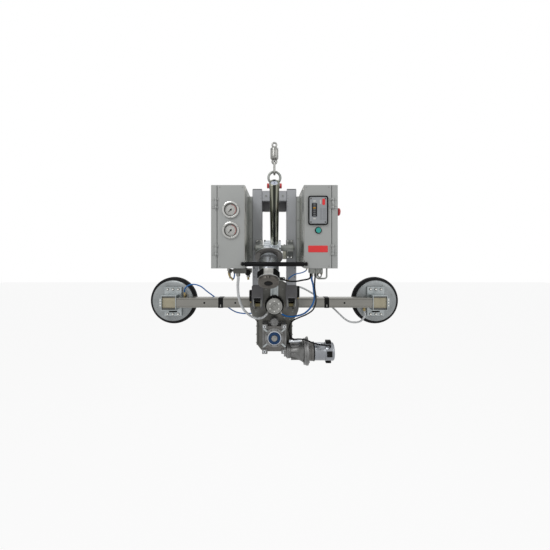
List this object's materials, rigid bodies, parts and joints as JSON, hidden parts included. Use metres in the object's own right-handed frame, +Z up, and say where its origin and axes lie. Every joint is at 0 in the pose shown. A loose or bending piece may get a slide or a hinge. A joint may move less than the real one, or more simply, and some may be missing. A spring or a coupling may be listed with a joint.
{
  "type": "battery vacuum glass lifter",
  "caption": "Hoist-hung battery vacuum lifter with control cases, powered tilt actuator, geared rotator and a cross beam with suction pads for glass.",
  "frame": {"origin": "centre of the hoist eye", "axes": "+Z up, +X to the operator's right seen from the front, +Y from the operator's side to the glass"},
  "size_m": [1.637, 0.7608, 1.291],
  "materials": {
    "case_paint": "semi-gloss grey",
    "frame_paint": "satin blue-grey",
    "zinc": "zinc plated",
    "chrome": "polished",
    "aluminium": "satin",
    "cast_aluminium": "cast",
    "steel": "machined",
    "black_plastic": "matte",
    "black_rubber": "matte",
    "red_plastic": "gloss",
    "green_plastic": "gloss",
    "beige_plastic": "matte",
    "navy_plastic": "matte",
    "blue_hose": "gloss",
    "clear_hose": "milky",
    "battery_case": "matte"
  },
  "bodies": {
    "hoist": {"swivel_eye": "chrome"},
    "swivel": {"swivel_body": "chrome", "lift_link": "steel"},
    "shackle": {"shackle_bow": "zinc", "shackle_pin": "steel"},
    "chassis": {"lifting_crossbar": "frame_paint", "rear_crossbar": "frame_paint", "upright_left": "frame_paint", "upright_right": "frame_paint", "tilt_pin_left": "steel", "tilt_pin_right": "steel", "trunnion_bracket_left": "zinc", "trunnion_bracket_right": "zinc", "case_left": "case_paint", "case_right": "case_paint", "control_panel": "black_plastic", "handle_bar": "black_plastic", "gauge_upper": "chrome", "gauge_lower": "chrome", "battery_pack": "battery_case", "vacuum_pump": "cast_aluminium", "manifold_left": "steel", "manifold_right": "steel", "limit_switch": "beige_plastic", "switch_left": "black_plastic", "switch_right": "black_plastic", "union_hose": "clear_hose", "union_feed": "blue_hose", "drive_cable": "black_rubber", "tilt_cable": "black_rubber", "small_line": "blue_hose"},
    "upper_needle": {"needle_upper": "black_plastic"},
    "lower_needle": {"needle_lower": "black_plastic"},
    "button": {"start_button": "green_plastic"},
    "left_door": {"door_left": "case_paint"},
    "right_door": {"door_right": "case_paint"},
    "stop_button": {"stop_head": "red_plastic"},
    "actuator": {"actuator_gear_case": "cast_aluminium", "actuator_tube": "chrome", "tilt_motor": "steel"},
    "rod": {"actuator_rod": "steel"},
    "tilt_frame": {"carrier_plate": "zinc", "rod_clevis": "steel", "rotary_union": "aluminium", "worm_gearbox": "cast_aluminium", "shaft_seal": "navy_plastic", "gear_bell": "cast_aluminium", "rotation_motor": "steel", "rotation_motor_cap": "steel"},
    "pinion": {"drive_pinion": "steel"},
    "rotor": {"ring_gear": "steel", "cross_beam": "aluminium", "pad_bracket_left": "zinc", "pad_bracket_right": "zinc", "suction_disc_left": "steel", "suction_disc_right": "steel", "rubber_lip_left": "black_rubber", "rubber_lip_right": "black_rubber", "left_pad_hose": "blue_hose", "right_pad_hose": "clear_hose"}
  },
  "joints": [
    {"name": "swivel_spin", "type": "hinge", "parent": "hoist", "child": "swivel", "pos_m": [0, 0, 0], "axis": [0, 0, 1], "continuous": true},
    {"name": "shackle_rock", "type": "hinge", "parent": "swivel", "child": "shackle", "pos_m": [0, 0, -0.1668], "axis": [0, 1, 0], "range_deg": [-18, 18]},
    {"name": "frame_swing", "type": "hinge", "parent": "shackle", "child": "chassis", "pos_m": [0, 0, -0.233], "axis": [1, 0, 0], "range_deg": [-15, 15]},
    {"name": "upper_needle_turn", "type": "hinge", "parent": "chassis", "child": "upper_needle", "pos_m": [-0.2085, -0.2703, -0.405], "axis": [0, 1, 0], "range_deg": [0, 270]},
    {"name": "lower_needle_turn", "type": "hinge", "parent": "chassis", "child": "lower_needle", "pos_m": [-0.2085, -0.2703, -0.503], "axis": [0, 1, 0], "range_deg": [0, 270]},
    {"name": "button_press", "type": "slide", "parent": "chassis", "child": "button", "axis": [0, 1, 0], "range_m": [0, 0.003], "stiffness_N_per_m": 600},
    {"name": "left_door_hinge", "type": "hinge", "parent": "chassis", "child": "left_door", "pos_m": [-0.2795, -0.2765, -0.486], "axis": [0, 0, 1], "range_deg": [0, 110]},
    {"name": "right_door_hinge", "type": "hinge", "parent": "chassis", "child": "right_door", "pos_m": [0.2795, -0.2765, -0.486], "axis": [0, 0, -1], "range_deg": [0, 110]},
    {"name": "stop_press", "type": "slide", "parent": "right_door", "child": "stop_button", "axis": [-1, 0, 0], "range_m": [0, 0.005]},
    {"name": "tilt_hinge", "type": "hinge", "parent": "chassis", "child": "tilt_frame", "pos_m": [0, 0.05, -0.915], "axis": [-1, 0, 0], "range_deg": [0, 90], "deforming": ["union_hose", "union_feed", "drive_cable"]},
    {"name": "actuator_swing", "type": "hinge", "parent": "chassis", "child": "actuator", "pos_m": [0, -0.1, -0.587], "axis": [-1, 0, 0], "range_deg": [0, 11.4], "deforming": ["tilt_cable"]},
    {"name": "rod_slide", "type": "slide", "parent": "actuator", "child": "rod", "axis": [0, 0.7809, -0.6247], "range_m": [0, 0.2385]},
    {"name": "pad_rotation", "type": "hinge", "parent": "tilt_frame", "child": "rotor", "pos_m": [0, 0.172, -0.93], "axis": [0, 1, 0], "continuous": true},
    {"name": "pinion_spin", "type": "hinge", "parent": "tilt_frame", "child": "pinion", "pos_m": [0, 0.172, -1.108], "axis": [0, 1, 0], "continuous": true}
  ],
  "couplings": [
    {"joint": "actuator_swing", "follows": "tilt_hinge", "ratio": 0.1252},
    {"joint": "rod_slide", "follows": "tilt_hinge", "m_per_rad": 0.15142},
    {"joint": "pinion_spin", "follows": "pad_rotation", "ratio": -2.8696}
  ]
}
